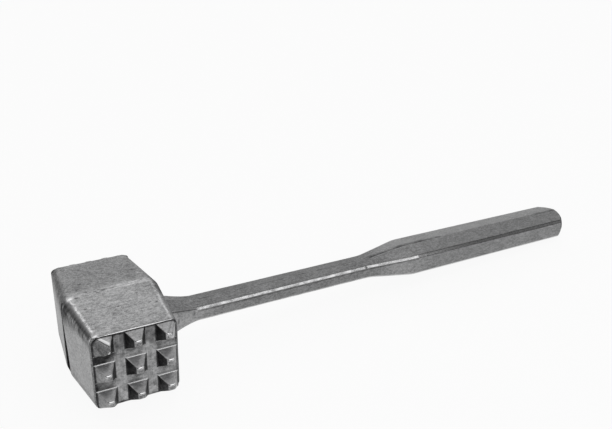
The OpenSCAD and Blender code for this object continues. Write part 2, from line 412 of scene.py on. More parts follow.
def aged(points, outward):
    """A ring of the head as the years left it, with how worn, polished and grimy it is, and with
    the painted light and shade laid on it.
    """
    x, y, z = points.T
    side, flat = outward[:, 0], np.abs(outward[:, 1])
    flank = limited((flat - 0.9) * 10)
    bare = limited((-side - 0.75) * 5)
    coarse = limited(0.5 - (y + 0.8 * mottled(points, 3.0, 16)) / 0.7)
    tilt = np.arccos(limited(flat))

    # Grain, sand pits and knocks
    sunk = GRAIN_DEPTH * (1 + mottled(points, 5.0, 11) + 0.4 * (1 + mottled(points, 1.6, 12)))
    grime_and_shade = np.zeros(len(points))
    for pit_x, pit_y, radius in pits:
        pit = bell(np.hypot((x - pit_x) * 0.6, y - pit_y), radius) * flank
        sunk += PIT_DEPTH * pit
        grime_and_shade = np.maximum(grime_and_shade, 0.75 * pit)
    knocked = knocked_off(points)
    sunk += KNOCK_DEPTH * knocked

    # The groove on the bare side, which widens downward, and the fine parting line by the neck
    ragged = 0.25 * mottled(points * (0, 0, 1), 4.0, 14)
    broken = patches(points * (0, 0, 1), 1.0, 0.6, 3.0, 15)
    groove = bell(y - ragged, GROOVE_REACH + 1.3 * limited((8 - z) / 18)) * bare * broken
    sunk += GROOVE_DEPTH * groove
    sunk += PARTING_DEPTH * bell(y, 0.15) * (side > 0.9)

    # The corner between flank and bare side: a worn brow lit further by a painted highlight, above
    # a streaked band of painted shade
    brow = 1.35 * limited(bell(tilt - 0.28, 0.2) - 0.12) * np.where(side < 0, 1.0, 0.6) * coarse
    speckled = 0.7 * mottled(points * (1, 0.6, 1), 2.0, 18) + 1.1 * mottled(points, 0.6, 19)
    brow *= np.clip(0.7 + speckled, 0, 1.2)
    streaks = patches(points * (0.5, 1, 0.15), 0.6, 1.5, 0.8, 17)
    by_corner = bell(np.maximum(13 - np.abs(z), 0), 1.8 + 3.4 * limited(1 + y / 14))
    painted_corner_shade = limited(1.4 * bell(tilt - 1.2, 0.55)) * (side < 0) * by_corner
    painted_corner_shade *= np.where(z > 0, 1.0, 0.3) * (0.35 + 0.65 * streaks) * limited(1 - brow)
    darkest = 0.4 + (0.3 + 0.1 * bell(y + 4, 6)) * coarse

    # A darker patch on the flank towards the neck, painted shade on the corner beside the neck,
    # and grime with painted shade on the flanks, most on the fine half
    by_edge = 0.36 * bell(np.maximum(17 - x, 0), 6.5) * bell(y + 1, 10)
    by_edge += 0.45 * bell(tilt - 1.0, 0.5) * (side > 0)
    by_edge *= (x > 0) * (0.8 + 0.4 * mottled(points * (0.5, 1, 1), 1.8, 20))
    flank_grime_and_shade = flank * (0.2 - 0.15 * coarse)
    grime_and_shade = strongest(grime_and_shade, limited(3.0 * groove), painted_corner_shade * darkest, flank_grime_and_shade, by_edge)

    # File marks along the ridge, scuffs on the coarse half, and a rubbed edge beside the neck;
    # that edge and the coarse half's bare corner are lit further by painted highlight
    file_marks = patches(points * (0.3, 1.8, 1), 0.5, 1.1, 1.0, 21)
    lower = y + 1.0 + 0.9 * mottled(points * (0.5, 0, 0), 2.2, 22)
    filed = limited(lower / 1.1) * bell(np.maximum(y - 0.8, 0), 1.9) * flank
    filed *= (0.45 + 0.55 * file_marks) * (0.45 + 0.6 * limited(x / 9 + 0.3))
    corner = 2 * np.abs(side) * flat * (side < 0)
    scuffed = 0.12 * coarse * patches(points * (0.3, 1.2, 1), 0.6, 1.0, 2.0, 23) * (1 - corner)
    by_neck = 0.4 * bell(tilt - 1.12, 0.07) * (side > 0) * coarse
    by_neck *= patches(points, 0.6, 1.2, 0.7, 24)
    wear_and_highlight = strongest(filed, brow, scuffed, knocked, 0.9 * by_neck)
    polish_and_highlight = strongest(0.55 * knocked, 0.5 * brow, 0.45 * corner * coarse, 0.6 * by_neck)

    moved = points.copy()
    moved[:, [0, 2]] -= outward * sunk[:, None]
    return moved, (wear_and_highlight, polish_and_highlight, grime_and_shade * (1 - knocked))


def face_rim(before, edge, outward, half):
    """The rings of the burnished chamfer round a face, how aged each is, and the floor's edge."""
    middle = edge * (0, 1, 0)
    inset = (middle - edge) / np.linalg.norm(edge - middle, axis=1)[:, None]
    upper, lower = edge - (0, half * CHAMFER, 0), edge + inset * CHAMFER_ON_FACE
    floor_edge = edge + inset * LAND_START
    chamfer = (upper + lower) / 2
    rings = [*rounding(before, upper, chamfer, 3), chamfer]
    rings += rounding(chamfer, lower, floor_edge, 3)
    flank = limited((np.abs(outward[:, 1]) - 0.6) * 4)
    rubbed = flank * patches(edge, 1.0, 0.8, 1.5, 33)
    age = []
    for ring, shine in zip(rings, (0.5, 0.9, 1, 1, 1, 0.8, 0.2)):
        chip = knocked_off(ring)
        wear_and_highlight = np.maximum(0.5 * rubbed * shine, chip)
        polish_and_highlight = np.maximum(rubbed * shine, 0.6 * chip)
        # Painted shade on the rim's sides, away from the flanks
        painted_edge_shade = (1 - flank) * np.where(outward[:, 0] > 0, 0.5, 1 - 0.7 * shine) * (1 - chip)
        age.append((wear_and_highlight, polish_and_highlight, painted_edge_shade))
    return rings, age, floor_edge


def face_floor(edge, half, pitch, foot):
    """The floor between the teeth, in rings that close on its middle, and how aged each is."""
    middle = edge * (0, 1, 0)
    widest = np.abs(edge[:, [0, 2]]).max(0)
    rings, age = [], []
    for share in np.linspace(1, 0.02, 48):
        ring = middle + (edge - middle) * share
        x, _, z = ring.T
        ring[:, 1] -= half * 0.02 * (1 + mottled(ring, 2.0, 13))
        between_columns = np.abs(x - pitch * np.round(x / pitch)) > foot / 2
        cut = patches(ring * (2.4, 1, 0.2), 0.5, 1.3, 1.0, 31)
        border = np.min(widest - np.abs(ring[:, [0, 2]]), axis=1)
        land = bell(border - 0.3, np.where(x < 0, 0.45, 0.35))
        stain = 0.1 + 0.5 * mottled(ring, 2.2, 32) + 0.1 * ~between_columns
        # Painted shade towards the upper rows and the left end, and along the face's border,
        # darkest on the left
        painted_shade_at_end = 0.5 * limited((z - 5) / 6) + 0.4 * limited((-x - 7) / 4)
        painted_shade_at_end += 0.4 * bell(z - 6.0, 2.5) * limited((-x - 5) / 4)
        painted_shade_by_border = np.where(x < 0, 0.9, 0.55) * land
        wear_and_highlight = np.where(between_columns, 0.45, 0.15) * cut * (1 - land)
        rings.append(ring)
        age.append((wear_and_highlight, np.zeros(len(ring)), stain + painted_shade_at_end + painted_shade_by_border))
    return rings, age


def head_half(name, half, reach, face_width, face_thickness, pitch, foot):
    """Half of the head, from the parting ridge to its face, towards -Y or +Y as half says."""
    rings, age = [], []
    heights = [*np.linspace(0, 3, 26), *np.linspace(3, reach - FACE_EDGE, 56)[1:], reach]
    for height in heights:
        share = (math.hypot(height, RIDGE_WEAR) if height < reach else height) / reach
        width = HEAD_WIDTH + (face_width - HEAD_WIDTH) * share
        thickness = HEAD_THICKNESS + (face_thickness - HEAD_THICKNESS) * share
        radius = RIDGE_RADIUS + (FACE_RADIUS - RIDGE_RADIUS) * share
        points, outward = head_ring(half * height, width, thickness, radius)
        flattened = HEAD_THICKNESS / 2 - filed_depth(points * (1, 0, 0.5))
        points[:, 2] = np.sign(points[:, 2]) * soft_min(np.abs(points[:, 2]), flattened, 0.03)
        ring, (wear_and_highlight, polish_and_highlight, grime_and_shade) = aged(points, outward)
        # Painted shade on the sides and corners next to the face
        shade_by_face = limited((height - reach + 0.7) / 0.6) * limited(1 - 2 * np.abs(outward[:, 1]))
        shade_by_face *= 1 - knocked_off(points)
        rings.append(ring)
        age.append((wear_and_highlight, polish_and_highlight, np.maximum(grime_and_shade, 0.25 * shade_by_face)))
    edge = rings.pop()
    age.pop()
    rim, rim_age, floor_edge = face_rim(rings[-1], edge, outward, half)
    ground, ground_age = face_floor(floor_edge, half, pitch, foot)
    return closed_skin(name, rings + rim + ground, age + rim_age + ground_age, head_metal)


head_coarse = head_half(
    "head_coarse", -1, COARSE_REACH, COARSE_WIDTH, COARSE_THICKNESS, COARSE_PITCH, COARSE_FOOT
)
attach(head_coarse, "root")
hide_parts("head_coarse_half")

head_fine = head_half("head_fine", 1, FINE_REACH, FINE_WIDTH, FINE_THICKNESS, FINE_PITCH, FINE_FOOT)
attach(head_fine, "root")
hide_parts("head_fine_half")

# Teeth
# Two sets of channels cross on each face of the casting and leave square pyramids: nine large
# ones for tough meat and twenty-five small ones. Their tips are burnished by use, with a painted
# highlight on one side; their sides and the channels carry painted shade, and the corner teeth
# are cut round with the block, one nearly to its middle.
COARSE_TOOTH_HEIGHT = 4.6
FINE_TOOTH_HEIGHT = 3.3
TIP_WIDTH = 2.4
TOOTH_ROOT = 0.4
TIP_SHINE = (0.6, 0.9, 1, 1, 1, 0.8, 0.4, 0)
teeth_metal = cast_aluminium(
    "worn_teeth",
    (0.19, 0.191, 0.193),
    (0.37, 0.371, 0.373),
    roughness=0.36,
    grain=0.05,
    lump=1.2,
)


def one_tooth(name, foot, height, fillet, tip_edge, bright_side, arc_points, flat_points, levels):
    """A single pyramid on the plane z = 0, in millimetres, rooted a little below it."""
    slope = np.array([(TIP_WIDTH - foot) / 2, height])
    slope /= np.linalg.norm(slope)
    crease = np.array([foot / 2, 0.0])
    brow = np.array([TIP_WIDTH / 2, height])
    outer = crease + (fillet, 0)
    lifted = crease + slope * fillet
    below, above = brow - slope * 1.14 * tip_edge, brow - (tip_edge, 0)
    lowered, crown = brow - slope * 1.8 * tip_edge, brow - (1.6 * tip_edge, 0)
    worn_edge = (below + above) / 2
    profile = [outer - (0, TOOTH_ROOT), outer, *rounding(outer, crease, lifted, 4), lifted]
    profile += [lifted + (lowered - lifted) * share for share in np.linspace(0, 1, levels)[1:]]
    profile += [*rounding(lowered, below, worn_edge, 3), worn_edge]
    profile += [*rounding(worn_edge, above, crown, 3), crown]
    shine = (0,) * (len(profile) - len(TIP_SHINE)) + TIP_SHINE

    rings, age = [], []
    for (half, level), near_tip in zip(profile, shine):
        corners = np.array([(1, -1), (1, 1), (-1, 1), (-1, -1)]) * half
        radius = min(0.3 + 0.25 * max(level, 0) / height, half * 0.9)
        outline, outward, bends = rounded_outline(corners, radius, arc_points, flat_points)
        rings.append(np.column_stack([outline, np.full(len(outline), level)]))
        rise = limited(level / height)
        in_crease = limited(1.2 - level / fillet) * (level < fillet)
        # On the bright side the face is lighter and the crease and hips polished as painted light,
        # and the tip's wear is kept to that side as a painted highlight. The sides get painted
        # shade, darkest on the -X side.
        upper = limited((outward[:, 1] * bright_side - 0.25) * 3)
        sideways = limited((np.abs(outward[:, 0]) - 0.6) * 4)
        hips = bends * upper * rise**6
        polish_and_highlight = strongest(near_tip * upper, in_crease * upper, 0.6 * hips)
        wear_and_highlight = upper * max(0.45, near_tip)
        painted_shade_on_sides = np.where(outward[:, 0] < 0, 0.96, 0.62) - 0.08 * rise
        grime_and_shade = np.maximum(sideways * painted_shade_on_sides * (1 - near_tip), 0.12 * (level >= height - 0.01))
        age.append((wear_and_highlight, polish_and_highlight, grime_and_shade))
    tip = rings[-1]
    clean = np.zeros(len(tip))
    for share in (0.85, 0.6, 0.35, 0.12):
        ring = tip * (share, share, 1)
        ring[:, 2] += 0.03 * (1 - share)
        rings.append(ring)
        age.append((clean, clean, np.full(len(ring), 0.15)))

    count = len(tip)
    points = np.concatenate(rings)
    caps = [tuple(range(count)), tuple(range(len(points) - count, len(points)))]
    mesh = bpy.data.meshes.new(name)
    mesh.from_pydata(points.tolist(), [], caps + walls(rings))
    keep_age(mesh, age)
    made = bpy.data.objects.new(name, mesh)
    bpy.context.scene.collection.objects.link(made)
    return made


def rows_of_teeth():
    """A tree that stands its object's tooth in rows and cuts them to a cone round the corners."""
    tree = bpy.data.node_groups.new("rows_of_teeth", "GeometryNodeTree")
    link = tree.links.new
    given_sockets = [("Geometry", "Geometry"), ("Teeth a row", "Int")]
    for name in (
        "Pitch along",
        "Pitch across",
        "Height",
        "Turned radius at foot",
        "Turned radius at tip",
        "Off centre at foot",
        "Off centre at tip",
        "Turned edge",
        "Wear",
        "Turn to face",
    ):
        given_sockets.append((name, "Float"))
    given_sockets += [("Seed", "Int"), ("Metal", "Material")]
    for name, kind in given_sockets:
        tree.interface.new_socket(name, in_out="INPUT", socket_type="NodeSocket" + kind)
    tree.interface.new_socket("Geometry", in_out="OUTPUT", socket_type="NodeSocketGeometry")
    given = node(tree, "NodeGroupInput", (-1400, 0)).outputs

    def worked(operation, *values, place=(0, 0)):
        return math_node(tree, place, operation, *values)

    # Rows of teeth, each lowered a little by chance
    spaces = worked("SUBTRACT", given["Teeth a row"], 1, place=(-1200, 300))
    grid = node(tree, "GeometryNodeMeshGrid", (-900, 300))
    for socket, pitch, y in (("Size X", "Pitch along", 400), ("Size Y", "Pitch across", 250)):
        link(worked("MULTIPLY", spaces, given[pitch], place=(-1050, y)), grid.inputs[socket])
    link(given["Teeth a row"], grid.inputs["Vertices X"])
    link(given["Teeth a row"], grid.inputs["Vertices Y"])
    lowered = node(tree, "FunctionNodeRandomValue", (-1050, -100))
    lowered.data_type = "FLOAT"
    link(worked("SUBTRACT", 1, given["Wear"], place=(-1200, -100)), lowered.inputs[2])
    lowered.inputs[3].default_value = 1.0
    link(given["Seed"], lowered.inputs["Seed"])
    size = node(tree, "ShaderNodeCombineXYZ", (-850, -100))
    size.inputs["X"].default_value = 1.0
    size.inputs["Y"].default_value = 1.0
    link(lowered.outputs[1], size.inputs["Z"])
    stand = node(tree, "GeometryNodeInstanceOnPoints", (-600, 200))
    link(grid.outputs["Mesh"], stand.inputs["Points"])
    link(given["Geometry"], stand.inputs["Instance"])
    link(size.outputs["Vector"], stand.inputs["Scale"])
    real = node(tree, "GeometryNodeRealizeInstances", (-400, 200))
    link(stand.outputs["Instances"], real.inputs["Geometry"])

    # The cone that the corners are turned to, about an axis that leans off the face's centre
    where = node(tree, "ShaderNodeSeparateXYZ", (-900, -400))
    link(node(tree, "GeometryNodeInputPosition", (-1100, -400)).outputs[0], where.inputs[0])
    x, y, z = where.outputs
    rise = worked("DIVIDE", z, given["Height"], place=(-750, -650))

    def at_height(size, place):
        foot, tip = given[size + " at foot"], given[size + " at tip"]
        change = worked("SUBTRACT", tip, foot, place=(place[0] - 150, place[1] - 100))
        return worked("MULTIPLY_ADD", change, rise, foot, place=place)

    limit = at_height("Turned radius", (-600, -700))
    shift = at_height("Off centre", (-600, -900))
    shift = worked("MULTIPLY", shift, math.sqrt(0.5), place=(-450, -900))
    from_x = worked("SUBTRACT", x, shift, place=(-750, -350))
    from_y = worked("ADD", y, shift, place=(-750, -500))
    square_x = worked("MULTIPLY", from_x, from_x, place=(-600, -300))
    square_y = worked("MULTIPLY", from_y, from_y, place=(-600, -450))
    squares = worked("ADD", square_x, square_y, place=(-500, -400))
    radius = worked("SQRT", squares, place=(-400, -400))
    held = worked("SMOOTH_MIN", radius, limit, given["Turned edge"], place=(-300, -500))
    divisor = worked("MAXIMUM", radius, 0.001, place=(-300, -650))
    share = worked("DIVIDE", held, divisor, place=(-150, -500))
    along_cut = worked("MULTIPLY", from_x, share, place=(-50, -250))
    across_cut = worked("MULTIPLY", from_y, share, place=(-50, -400))
    cut = node(tree, "ShaderNodeCombineXYZ", (100, -400))
    link(worked("ADD", along_cut, shift, place=(50, -250)), cut.inputs["X"])
    link(worked("SUBTRACT", across_cut, shift, place=(50, -400)), cut.inputs["Y"])
    link(z, cut.inputs["Z"])

    # The round cut is left dull and its rim is burnished, most by the deepest cut. The burnish is
    # kept to the rim's upper side, as a painted highlight.
    beyond = worked("SUBTRACT", radius, limit, place=(-300, -1000))
    from_rim = worked("ADD", beyond, 0.35, place=(-250, -1100))
    from_rim = worked("ABSOLUTE", from_rim, place=(-200, -1000))
    off_rim = worked("DIVIDE", from_rim, given["Turned edge"], place=(-100, -1000))
    on_rim = worked("SUBTRACT", 1, off_rim, place=(0, -1000))
    on_rim = worked("MULTIPLY", on_rim, 1.6, place=(100, -1000))
    on_rim = worked("MINIMUM", on_rim, 1, place=(150, -950))
    toward_nick = worked("DIVIDE", x, given["Turned radius at foot"], place=(50, -850))
    toward_nick = worked("SUBTRACT", 0.6, toward_nick, place=(150, -850))
    kept_rim = worked("MINIMUM", toward_nick, 1, place=(250, -850))
    kept_rim = worked("MAXIMUM", kept_rim, 0.45, place=(300, -850))
    upper_rim = worked("ADD", x, y, place=(250, -750))
    upper_rim = worked("GREATER_THAN", upper_rim, -0.5, place=(300, -750))
    kept_rim = worked("MULTIPLY", kept_rim, upper_rim, place=(350, -850))
    rim_polish_and_highlight = worked("MULTIPLY", on_rim, kept_rim, place=(200, -1000))
    inside = worked("LESS_THAN", beyond, given["Turned edge"], place=(200, -1300))
    marked = real.outputs["Geometry"]
    for name, left_outside, added in (
        ("polish_and_highlight", 0, rim_polish_and_highlight),
        ("wear_and_highlight", 0, rim_polish_and_highlight),
        ("grime_and_shade", 0.35, 0),
    ):
        was = node(tree, "GeometryNodeInputNamedAttribute", (200, -1200))
        was.inputs["Name"].default_value = name
        share_left = worked("MAXIMUM", inside, left_outside, place=(250, -1250))
        left = worked("MULTIPLY", was.outputs["Attribute"], share_left, place=(300, -1200))
        store = node(tree, "GeometryNodeStoreNamedAttribute", (450, -1000), domain="POINT")
        store.inputs["Name"].default_value = name
        link(marked, store.inputs["Geometry"])
        link(worked("MAXIMUM", left, added, place=(350, -1100)), store.inputs["Value"])
        marked = store.outputs["Geometry"]

    # The cut rows, turned to their face and given their metal
    rounded = node(tree, "GeometryNodeSetPosition", (600, 200))
    link(marked, rounded.inputs["Geometry"])
    link(cut.outputs["Vector"], rounded.inputs["Position"])
    tilt = node(tree, "ShaderNodeCombineXYZ", (600, -100))
    link(given["Turn to face"], tilt.inputs["X"])
    faced = node(tree, "GeometryNodeTransform", (800, 200))
    link(rounded.outputs["Geometry"], faced.inputs["Geometry"])
    link(tilt.outputs["Vector"], faced.inputs["Rotation"])
    coated = node(tree, "GeometryNodeSetMaterial", (1000, 200))
    link(faced.outputs["Geometry"], coated.inputs["Geometry"])
    link(given["Metal"], coated.inputs["Material"])
    link(coated.outputs["Geometry"], node(tree, "NodeGroupOutput", (1200, 200)).inputs[0])
    return tree


tooth_rows = rows_of_teeth()


def toothed_face(name, tooth, floor_height, foot, settings):
    """Runs the tree on one tooth and lays the finished rows on the head's face."""
    modifier = tooth.modifiers.new("rows", "NODES")
    modifier.node_group = tooth_rows
    for socket in tooth_rows.interface.items_tree:
        if socket.in_out == "INPUT" and socket.name in settings:
            modifier[socket.identifier] = settings[socket.name]
    evaluated = tooth.evaluated_get(bpy.context.evaluated_depsgraph_get())
    mesh = bpy.data.meshes.new_from_object(evaluated)
    tooth.modifiers.remove(modifier)
    bpy.data.objects.remove(tooth)
    mesh.name = name

    count = len(mesh.vertices)
    places, grime_and_shade, polish_and_highlight = np.empty(count * 3), np.empty(count), np.empty(count)
    mesh.vertices.foreach_get("co", places)
    mesh.attributes["grime_and_shade"].data.foreach_get("value", grime_and_shade)
    mesh.attributes["polish_and_highlight"].data.foreach_get("value", polish_and_highlight)
    x, level, z = places[::3], np.abs(places[1::3]), places[2::3]
    rows_to_middle = (settings["Teeth a row"] - 1) / 2
    last_column = rows_to_middle * settings["Pitch along"]
    last_row = rows_to_middle * settings["Pitch across"]

    # Painted shade and grime are taken off the outer sides of the columns, where light falls, and
    # painted shade lies under the rim of the last row
    lit_outer_side = limited((np.abs(x) - last_column) * 2) * limited((level - 0.2) * 2)
    grime_and_shade *= 1 - 0.85 * lit_outer_side * np.where((z > 6) & (x < 0), 0.8, 1.0)
    shade_under_rim = limited((z - last_row - 2) * 2) * limited(1.6 - level * 2.5)
    grime_and_shade = np.maximum(grime_and_shade, shade_under_rim)
    polish_and_highlight *= 1 - shade_under_rim
    places[2::3] = np.clip(z, -last_row - foot / 2, last_row + foot / 2)
    mesh.vertices.foreach_set("co", places)
    mesh.attributes["grime_and_shade"].data.foreach_set("value", grime_and_shade.astype(np.float32))
    mesh.attributes["polish_and_highlight"].data.foreach_set("value", polish_and_highlight.astype(np.float32))
    mesh.transform(lay @ Matrix.Translation((0, floor_height, 0)))
    return finished(name, mesh, teeth_metal)


coarse_tooth = one_tooth(
    "coarse_tooth",
    COARSE_FOOT,
    COARSE_TOOTH_HEIGHT,
    fillet=0.3,
    tip_edge=0.34,
    bright_side=1,
    arc_points=7,
    flat_points=24,
    levels=28,
)
coarse_rows = toothed_face(
    "coarse_rows",
    coarse_tooth,
    -COARSE_REACH,
    COARSE_FOOT,
    {
        "Teeth a row": 3,
        "Pitch along": COARSE_PITCH,
        "Pitch across": 11.4,
        "Height": COARSE_TOOTH_HEIGHT,
        "Turned radius at foot": 20.9,
        "Turned radius at tip": 16.8,
        "Off centre at foot": 0.5,
        "Off centre at tip": 1.4,
        "Turned edge": 0.8,
        "Wear": 0.04,
        "Turn to face": math.pi / 2,
        "Seed": 4,
        "Metal": teeth_metal,
    },
)
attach(coarse_rows, "root")
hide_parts("coarse_teeth")

fine_tooth = one_tooth(
    "fine_tooth",
    FINE_FOOT,
    FINE_TOOTH_HEIGHT,
    fillet=0.22,
    tip_edge=0.16,
    bright_side=-1,
    arc_points=6,
    flat_points=9,
    levels=11,
)
fine_rows = toothed_face(
    "fine_rows",
    fine_tooth,
    FINE_REACH,
    FINE_FOOT,
    {
        "Teeth a row": 5,
        "Pitch along": FINE_PITCH,
        "Pitch across": 6.7,
        "Height": FINE_TOOTH_HEIGHT,
        "Turned radius at foot": 21.2,
        "Turned radius at tip": 18.4,
        "Off centre at foot": 0.0,
        "Off centre at tip": 0.0,
        "Turned edge": 0.3,
        "Wear": 0.06,
        "Turn to face": -math.pi / 2,
        "Seed": 9,
        "Metal": teeth_metal,
    },
)
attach(fine_rows, "root")
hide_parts("fine_teeth")

# Shaft
# A straight six-sided bar, cast in one with the head, with its parting line on its two thin edges.
# Its long corners are broken flat and polished by hand and drawer, and something hard has nicked
# it just beside the neck.
SHAFT_SIZES = np.array([11.4, 8.2, 6.1])
SHAFT_START = 33.3
SHAFT_LENGTH = 79.2
EDGE_RADIUS = 1.6
BROKEN_ANGLE = math.radians(21)
NICK_AT = 35.4
NICK_LENGTH = 6.2
NICK_DEPTH = 0.6
FIN_START = 113.5
FIN_END = 157.0
FIN_AGAIN = 212.0
FIN_OFFSET = 0.45
FIN_REACH = 0.28
FIN_DEPTH = 0.14
POLISH_END = 137.9
ROOT_END = 25.5

# A small knock across the upper corner on the coarse side: its place, half length and depth
TICK_AT = 112.6
TICK_REACH = 0.3
TICK_DEPTH = 0.15
handle_metal = cast_aluminium(
    "cast_handle",
    (0.15, 0.151, 0.152),
    (0.29, 0.291, 0.293),
    roughness=0.36,
    grain=0.045,
    lump=0.9,
)


def handle_ring(x, sizes, grow=0.0, fold=0.0):
    """A ring of the handle at station x: width over the flats, thickness over the parting, flat."""
    width, thickness, flat = sizes / 2
    near_side = [(0, -thickness), (width, -flat), (width, flat)]
    corners = near_side + [(-out, -up) for out, up in near_side]
    outline, outward, bends = rounded_outline(corners, EDGE_RADIUS, 19, 14, grow, BROKEN_ANGLE)
    points = np.column_stack([np.full(len(outline), x), outline])
    draft = np.where(
        outline[:, 0] > 0,
        (HEAD_WIDTH - FINE_WIDTH) / 2 / FINE_REACH,
        (HEAD_WIDTH - COARSE_WIDTH) / 2 / COARSE_REACH,
    )
    points[:, 0] -= fold * draft * np.abs(outline[:, 0])
    return points, outward, bends


def handled(points, outward, bends):
    """The ring as use has left it, with how worn, polished and grimy it is at each point, and with
    the painted light and shade laid on it.
    """
    x, y, z = points.T
    side_corner = bends * (np.abs(y) > 2) * (np.abs(outward[:, 0]) > 0.1)
    on_bar = limited((x - SHAFT_START + 1.5) / 2)
    on_coarse_flat = outward[:, 0] < -0.97

    # Grain, and the parting line: one line on the bar, and a fin between two on flare and grip
    sunk = GRAIN_DEPTH * (1 + mottled(points * (0.3, 1, 1), 4.0, 41))
    sunk += 0.01 * (1 + mottled(points, 1.2, 42))
    finned = limited((x - FIN_START) / 4) * limited((FIN_END - x) / 2)
    finned = np.maximum(finned, 0.6 * limited((x - FIN_AGAIN) / 6))
    patchy = patches(points * (1, 0, 0), 0.7, 0.9, 4.0, 43)
    at_root = limited(ROOT_END - x)
    near_line = bell(y + FIN_OFFSET, FIN_REACH + 0.15 * at_root)
    near_line *= np.where(x < FIN_START, 0.55 + 0.6 * at_root, finned)
    far_line = bell(y - FIN_OFFSET, FIN_REACH) * 0.8 * finned
    seam = np.maximum(near_line, far_line) * patchy
    sunk += FIN_DEPTH * seam

    # The knock and the nick
    tick = bell(x - TICK_AT, TICK_REACH) * side_corner * (y < 0) * (z > 0)
    sunk += TICK_DEPTH * tick
    moved = points.copy()
    moved[:, 1:] -= outward * sunk[:, None]
    dip = NICK_DEPTH * limited(1 - ((x - NICK_AT) / (NICK_LENGTH / 2)) ** 2)
    cut_to = SHAFT_SIZES[0] / 2 - dip * limited((z + 2) / 2.5)
    moved[:, 1] = np.where(dip > 0, np.minimum(moved[:, 1], cut_to), moved[:, 1])

    # Long corners polished, in patches on the bar, and painted light on the coarse flat by the
    # neck and the flare
    rubbed = 0.5 * mottled(points * (0.7, 1, 1), 2.0, 44) + 0.3 * mottled(points, 0.6, 46)
    rubbed = np.maximum(limited(0.78 + rubbed), limited((x - POLISH_END) / 3))
    polish_and_highlight = limited(side_corner * 2.4 - 0.9) * rubbed * on_bar * (1 - tick)
    painted_light_on_flats = 2.2 * bell(x - 130, 8) * patches(points, 0.7, 0.8, 1.0, 47)
    painted_light_on_flats += 2.7 * limited((44 - x) / 14)
    nicked = 0.5 * (dip > 0.1) * (y > 5)
    wear_and_highlight = strongest(nicked, 0.16 * painted_light_on_flats * on_coarse_flat, 0.7 * side_corner * (1 - on_bar))

    # Darker creases and streaks at the root, flats darker along the bar, a painted shadow line
    # below the polished corner on the coarse flat, and painted dark reflections in the grip's
    # upper corners
    root = limited((30 - x) / 4) * (z > 0) * (bends < 0.5) * (np.abs(y) < 7)
    dark = 0.22 * root * patches(points, 0.7, 1.0, 2.0, 45)
    painted_dark_crease = 0.75 * (side_corner > 0.9) * (1 - on_bar) * (z > 0)
    streaked = (bell(x - 24, 0.5) + 0.8 * bell(x - 31, 0.5)) * (z > -1)
    streaked = streaked * np.clip(0.5 + mottled(points, 1.3, 48), 0, 0.6)
    band = limited(side_corner * 4 - 0.6) * np.clip(0.45 + (x - POLISH_END) / 90, 0, 0.82)
    painted_dark_band = np.maximum(band, 0.85 * bell(side_corner - 0.45, 0.2))
    painted_dark_band *= (x > POLISH_END - 0.1) * (y < 0) * (z > 0) * (side_corner > 0)
    darker_on_bar = np.where(on_coarse_flat, 0.08, 0.24) * limited((128 - x) / 12) * (1 - polish_and_highlight)
    corner_start = np.min(z, initial=SHAFT_SIZES[2], where=(side_corner > 0) & (z > 0))
    painted_shadow_line = 0.6 * bell(z - corner_start + 0.05, 0.3) * (outward[:, 0] < -0.9)
    painted_shadow_line *= on_bar * (x < POLISH_END)
    grime_and_shade = strongest(seam, tick, streaked, darker_on_bar, painted_shadow_line, dark, painted_dark_crease, painted_dark_band)
    return moved, (wear_and_highlight, polish_and_highlight, grime_and_shade)


def handle_piece(name, drawn):
    """A region of the handle through rings that are already in place but unworn."""
    rings, age = zip(*(handled(*ring) for ring in drawn))
    return closed_skin(name, rings, age, handle_metal)


shaft_stations = np.linspace(SHAFT_START, SHAFT_START + SHAFT_LENGTH, 180)
bar = handle_piece("bar", [handle_ring(x, SHAFT_SIZES) for x in shaft_stations])
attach(bar, "root")
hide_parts("shaft")

# Neck
# The root of the handle, cast with the head. It runs into the head's sloping side in a hollow
# fillet and keeps the handle's six sides. Its foot is folded over the parting ridge, like the head.
NECK_SIZES = np.array([16.6, 16.2, 12.4])
NECK_START = HEAD_WIDTH / 2
NECK_FILLET = 2.0
NECK_HOLLOW = 1.5
NECK_ROOT = 0.4


def neck_ring(x, grow):
    left = (SHAFT_START - x) / (SHAFT_START - NECK_START)
    sizes = SHAFT_SIZES + (NECK_SIZES - SHAFT_SIZES) * left**NECK_HOLLOW
    return handle_ring(x, sizes, grow, left * left)


foot, foot_outward, foot_bends = neck_ring(NECK_START, NECK_FILLET)
neck_rings = [(foot - (NECK_ROOT, 0, 0), foot_outward, foot_bends)]
for bend in np.linspace(0, math.pi / 2, 12):
    station = NECK_START + NECK_FILLET * (1 - math.cos(bend))
    neck_rings.append(neck_ring(station, NECK_FILLET * (1 - math.sin(bend))))
for station in np.linspace(NECK_START + NECK_FILLET, SHAFT_START, 32)[1:]:
    neck_rings.append(neck_ring(station, 0.0))
root = handle_piece("root_of_handle", neck_rings)
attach(root, "root")
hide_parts("neck")

# Flare
# The length between shaft and grip, cast with them, where the bar widens in a straight slope that
# eases into both.
GRIP_SIZES = np.array([19.2, 12.9, 9.3])
GRIP_START = 137.8
FLARE_EASE = 0.18
FLARE_START = SHAFT_START + SHAFT_LENGTH


def eased(share):
    """A straight rise from 0 to 1 that starts and ends in a curve."""
    if share < FLARE_EASE:
        return share * share / 2 / FLARE_EASE / (1 - FLARE_EASE)
    if share > 1 - FLARE_EASE:
        return 1 - (1 - share) ** 2 / 2 / FLARE_EASE / (1 - FLARE_EASE)
    return (share - FLARE_EASE / 2) / (1 - FLARE_EASE)


flare_rings = []
for share in np.linspace(0, 1, 54):
    station = FLARE_START + (GRIP_START - FLARE_START) * share
    sizes = SHAFT_SIZES + (GRIP_SIZES - SHAFT_SIZES) * eased(share)
    flare_rings.append(handle_ring(station, sizes))
widening = handle_piece("widening", flare_rings)
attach(widening, "root")
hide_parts("flare")

